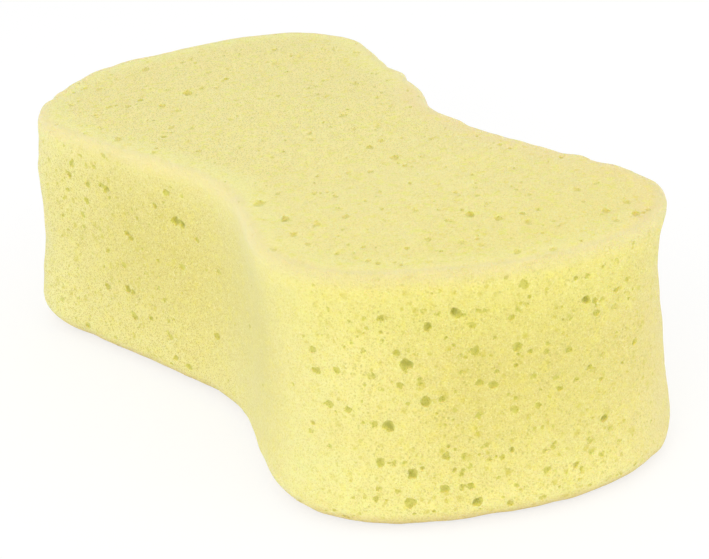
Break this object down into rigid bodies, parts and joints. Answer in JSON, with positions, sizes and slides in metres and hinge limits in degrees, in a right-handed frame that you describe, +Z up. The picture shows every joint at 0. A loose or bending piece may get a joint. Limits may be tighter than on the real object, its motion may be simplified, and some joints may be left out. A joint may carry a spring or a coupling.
{
  "type": "cleaning sponge",
  "caption": "Bone-shaped block of pale yellow open-cell foam, with two rounded lobes and a narrow waist to grip, for washing and wiping.",
  "frame": {"origin": "under the middle of the block, on the surface that it lies on", "axes": "+X along the sponge towards the narrow lobe, +Z up through its thickness"},
  "size_m": [0.22, 0.117, 0.064],
  "materials": {
    "foam": "open-cell polyurethane foam, soft, matte and slightly translucent, pale yellow with greenish pores"
  },
  "bodies": {
    "root": {"foam_block": "foam"}
  },
  "joints": []
}
